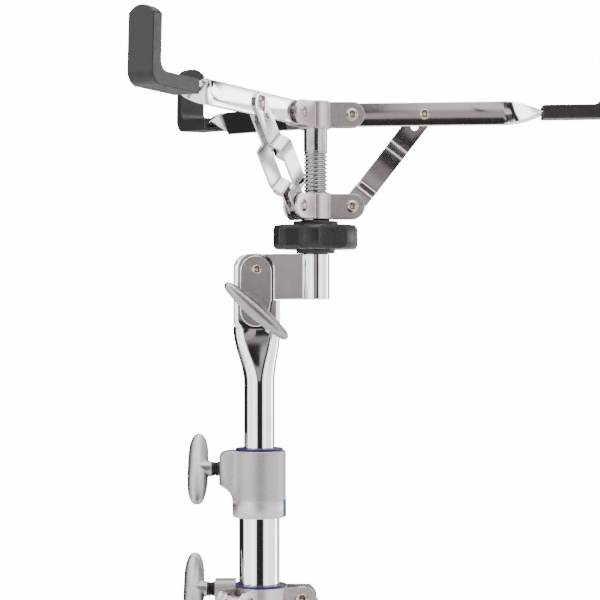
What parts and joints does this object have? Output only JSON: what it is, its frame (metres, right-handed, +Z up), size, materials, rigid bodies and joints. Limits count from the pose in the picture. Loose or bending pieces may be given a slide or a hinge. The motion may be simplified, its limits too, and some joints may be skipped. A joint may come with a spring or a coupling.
{
  "type": "snare drum stand",
  "caption": "Folding snare drum stand: riveted tripod base, clamped height tube, tilter and a basket of hinged arms with rubber grips, closed by a threaded knob.",
  "frame": {"origin": "on the floor, in the middle of the rectangle round the whole stand", "axes": "+Z up, the long way; one leg and one basket arm point along +X; the tilt turns about Y"},
  "size_m": [0.3836, 0.443, 0.5923],
  "materials": {
    "chrome_steel": "mirror chrome plate",
    "plated_strip": "polished nickel-chrome strip",
    "plated_sheet": "polished pressed sheet",
    "cast_aluminium": "satin casting",
    "rivet_steel": "warm nickel plate",
    "cast_wing": "satin plated casting",
    "screw_steel": "dark oiled thread",
    "blue_nylon": "deep blue nylon",
    "black_plastic": "dark grey moulded",
    "black_rubber": "dull charcoal rubber"
  },
  "bodies": {
    "base": {"lower_tube": "chrome_steel", "tube_plug": "black_plastic", "base_spider": "cast_aluminium", "spider_rivets": "rivet_steel", "height_collar": "cast_aluminium", "collar_shim": "blue_nylon"},
    "height_clamp": {"height_wing": "cast_wing", "height_screw": "screw_steel"},
    "swivel": {"swivel_sleeve": "blue_nylon"},
    "post": {"height_tube": "chrome_steel", "tilt_rivet": "rivet_steel", "tilt_nut": "rivet_steel"},
    "tilt_clamp": {"tilt_wing": "cast_wing", "tilt_bolt": "rivet_steel"},
    "tilter": {"tilt_bracket": "chrome_steel", "basket_rod": "chrome_steel", "top_hub": "plated_sheet", "top_hub_rivets": "rivet_steel"},
    "slider": {"low_hub": "plated_sheet", "low_hub_rivets": "rivet_steel"},
    "knob": {"basket_knob": "black_plastic"},
    "crown": {"crown_casting": "cast_aluminium", "crown_plates": "plated_sheet", "crown_sleeve": "blue_nylon", "crown_rivets": "rivet_steel"},
    "crown_clamp": {"crown_wing": "cast_wing", "crown_screw": "screw_steel"},
    "arm_right": {"arm_right": "plated_strip", "grip_right": "black_rubber"},
    "strut_right": {"strut_right": "plated_strip"},
    "leg_right": {"leg_right": "plated_strip", "foot_right": "black_rubber"},
    "brace_right": {"brace_right": "plated_strip"},
    "arm_back": {"arm_back": "plated_strip", "grip_back": "black_rubber"},
    "strut_back": {"strut_back": "plated_strip"},
    "leg_back": {"leg_back": "plated_strip", "foot_back": "black_rubber"},
    "brace_back": {"brace_back": "plated_strip"},
    "arm_front": {"arm_front": "plated_strip", "grip_front": "black_rubber"},
    "strut_front": {"strut_front": "plated_strip"},
    "leg_front": {"leg_front": "plated_strip", "foot_front": "black_rubber"},
    "brace_front": {"brace_front": "plated_strip"}
  },
  "joints": [
    {"name": "height_screw_turn", "type": "hinge", "parent": "base", "child": "height_clamp", "pos_m": [-0.08317, 0, 0.3256], "axis": [-1, 0, 0], "continuous": true},
    {"name": "post_swivel", "type": "hinge", "parent": "base", "child": "swivel", "pos_m": [-0.05817, 0, 0.3372], "axis": [0, 0, 1], "continuous": true},
    {"name": "post_height", "type": "slide", "parent": "swivel", "child": "post", "axis": [0, 0, 1], "range_m": [-0.04, 0.1]},
    {"name": "tilt_screw_turn", "type": "hinge", "parent": "post", "child": "tilt_clamp", "pos_m": [-0.05967, -0.0076, 0.424], "axis": [0, -1, 0], "continuous": true},
    {"name": "basket_tilt", "type": "hinge", "parent": "post", "child": "tilter", "pos_m": [-0.05967, 0, 0.4494], "axis": [0, 1, 0], "range_deg": [-25, 25]},
    {"name": "knob_turn", "type": "hinge", "parent": "tilter", "child": "knob", "pos_m": [-0.02317, 0, 0.4697], "axis": [0, 0, 1], "continuous": true},
    {"name": "arm_right_fold", "type": "hinge", "parent": "tilter", "child": "arm_right", "pos_m": [-0.00048, -0.00059, 0.5457], "axis": [-0.0262, -0.9997, 0], "range_deg": [0, 80]},
    {"name": "arm_back_fold", "type": "hinge", "parent": "tilter", "child": "arm_back", "pos_m": [-0.034, 0.01995, 0.5457], "axis": [0.8788, 0.4772, 0], "range_deg": [0, 80]},
    {"name": "arm_front_fold", "type": "hinge", "parent": "tilter", "child": "arm_front", "pos_m": [-0.03503, -0.01936, 0.5457], "axis": [-0.8526, 0.5225, 0], "range_deg": [0, 80]},
    {"name": "low_hub_slide", "type": "slide", "parent": "tilter", "child": "slider", "axis": [0, 0, 1], "range_m": [0, 0.0282]},
    {"name": "strut_right_swing", "type": "hinge", "parent": "slider", "child": "strut_right", "pos_m": [-0.00048, -0.00059, 0.4887], "axis": [-0.0262, -0.9997, 0], "range_deg": [0, 32.28]},
    {"name": "strut_back_swing", "type": "hinge", "parent": "slider", "child": "strut_back", "pos_m": [-0.034, 0.01995, 0.4887], "axis": [0.8788, 0.4772, 0], "range_deg": [0, 32.68]},
    {"name": "strut_front_swing", "type": "hinge", "parent": "slider", "child": "strut_front", "pos_m": [-0.03503, -0.01936, 0.4887], "axis": [-0.8526, 0.5225, 0], "range_deg": [0, 32.68]},
    {"name": "crown_slide", "type": "slide", "parent": "base", "child": "crown", "axis": [0, 0, 1], "range_m": [0, 0.0366]},
    {"name": "crown_screw_turn", "type": "hinge", "parent": "crown", "child": "crown_clamp", "pos_m": [-0.08567, 0, 0.2509], "axis": [-1, 0, 0], "continuous": true},
    {"name": "leg_right_fold", "type": "hinge", "parent": "crown", "child": "leg_right", "pos_m": [-0.03177, 0, 0.2447], "axis": [0, 1, 0], "range_deg": [0, 30.93]},
    {"name": "leg_back_fold", "type": "hinge", "parent": "crown", "child": "leg_back", "pos_m": [-0.07137, 0.02286, 0.2447], "axis": [-0.866, -0.5, 0], "range_deg": [0, 30.93]},
    {"name": "leg_front_fold", "type": "hinge", "parent": "crown", "child": "leg_front", "pos_m": [-0.07137, -0.02286, 0.2447], "axis": [0.866, -0.5, 0], "range_deg": [0, 30.93]},
    {"name": "brace_right_fold", "type": "hinge", "parent": "base", "child": "brace_right", "pos_m": [-0.03177, 0, 0.11928], "axis": [0, -1, 0], "range_deg": [0, 30.93]},
    {"name": "brace_back_fold", "type": "hinge", "parent": "base", "child": "brace_back", "pos_m": [-0.07137, 0.02286, 0.11928], "axis": [0.866, 0.5, 0], "range_deg": [0, 30.93]},
    {"name": "brace_front_fold", "type": "hinge", "parent": "base", "child": "brace_front", "pos_m": [-0.07137, -0.02286, 0.11928], "axis": [-0.866, 0.5, 0], "range_deg": [0, 30.93]}
  ],
  "couplings": [
    {"joint": "arm_back_fold", "follows": "arm_right_fold", "ratio": 1},
    {"joint": "arm_front_fold", "follows": "arm_right_fold", "ratio": 1},
    {"joint": "low_hub_slide", "follows": "arm_right_fold", "m_per_rad": 0.020196},
    {"joint": "strut_right_swing", "follows": "arm_right_fold", "ratio": 0.40336},
    {"joint": "strut_back_swing", "follows": "arm_right_fold", "ratio": 0.4084},
    {"joint": "strut_front_swing", "follows": "arm_right_fold", "ratio": 0.4084},
    {"joint": "leg_right_fold", "follows": "crown_slide", "rad_per_m": 14.745},
    {"joint": "leg_back_fold", "follows": "crown_slide", "rad_per_m": 14.745},
    {"joint": "leg_front_fold", "follows": "crown_slide", "rad_per_m": 14.745},
    {"joint": "brace_right_fold", "follows": "crown_slide", "rad_per_m": 14.745},
    {"joint": "brace_back_fold", "follows": "crown_slide", "rad_per_m": 14.745},
    {"joint": "brace_front_fold", "follows": "crown_slide", "rad_per_m": 14.745}
  ]
}
